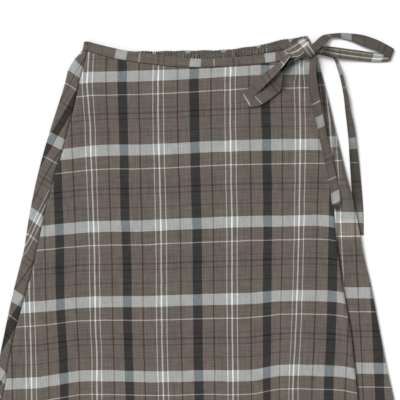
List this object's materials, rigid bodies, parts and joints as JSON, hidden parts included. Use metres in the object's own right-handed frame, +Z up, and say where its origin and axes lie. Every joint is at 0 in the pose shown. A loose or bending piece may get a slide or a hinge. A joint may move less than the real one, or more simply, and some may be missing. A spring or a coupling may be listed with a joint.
{
  "type": "wrap skirt",
  "caption": "Flat-laid A-line wrap skirt in yarn-dyed check, with an elastic gathered back waistband and self-fabric ties in a bow.",
  "frame": {"origin": "underside of the back panel, on the centre line at hip height, 204 mm below the front waistband's top edge, on the surface that the skirt lies on", "axes": "+X to the viewer's right across the skirt, +Y towards the waist, +Z up from the surface"},
  "size_m": [0.7106, 0.8618, 0.017],
  "materials": {
    "check_cloth": "matt plain weave, taupe ground with white, light grey and black check lines"
  },
  "bodies": {
    "root": {"back_panel": "check_cloth", "front_under_panel": "check_cloth", "front_over_panel": "check_cloth", "waistband_back": "check_cloth", "waistband_under": "check_cloth", "waistband_over": "check_cloth", "bow_knot": "check_cloth", "bow_loop_left": "check_cloth", "bow_loop_right": "check_cloth", "tie_tail_left": "check_cloth", "tie_tail_right": "check_cloth"}
  },
  "joints": []
}
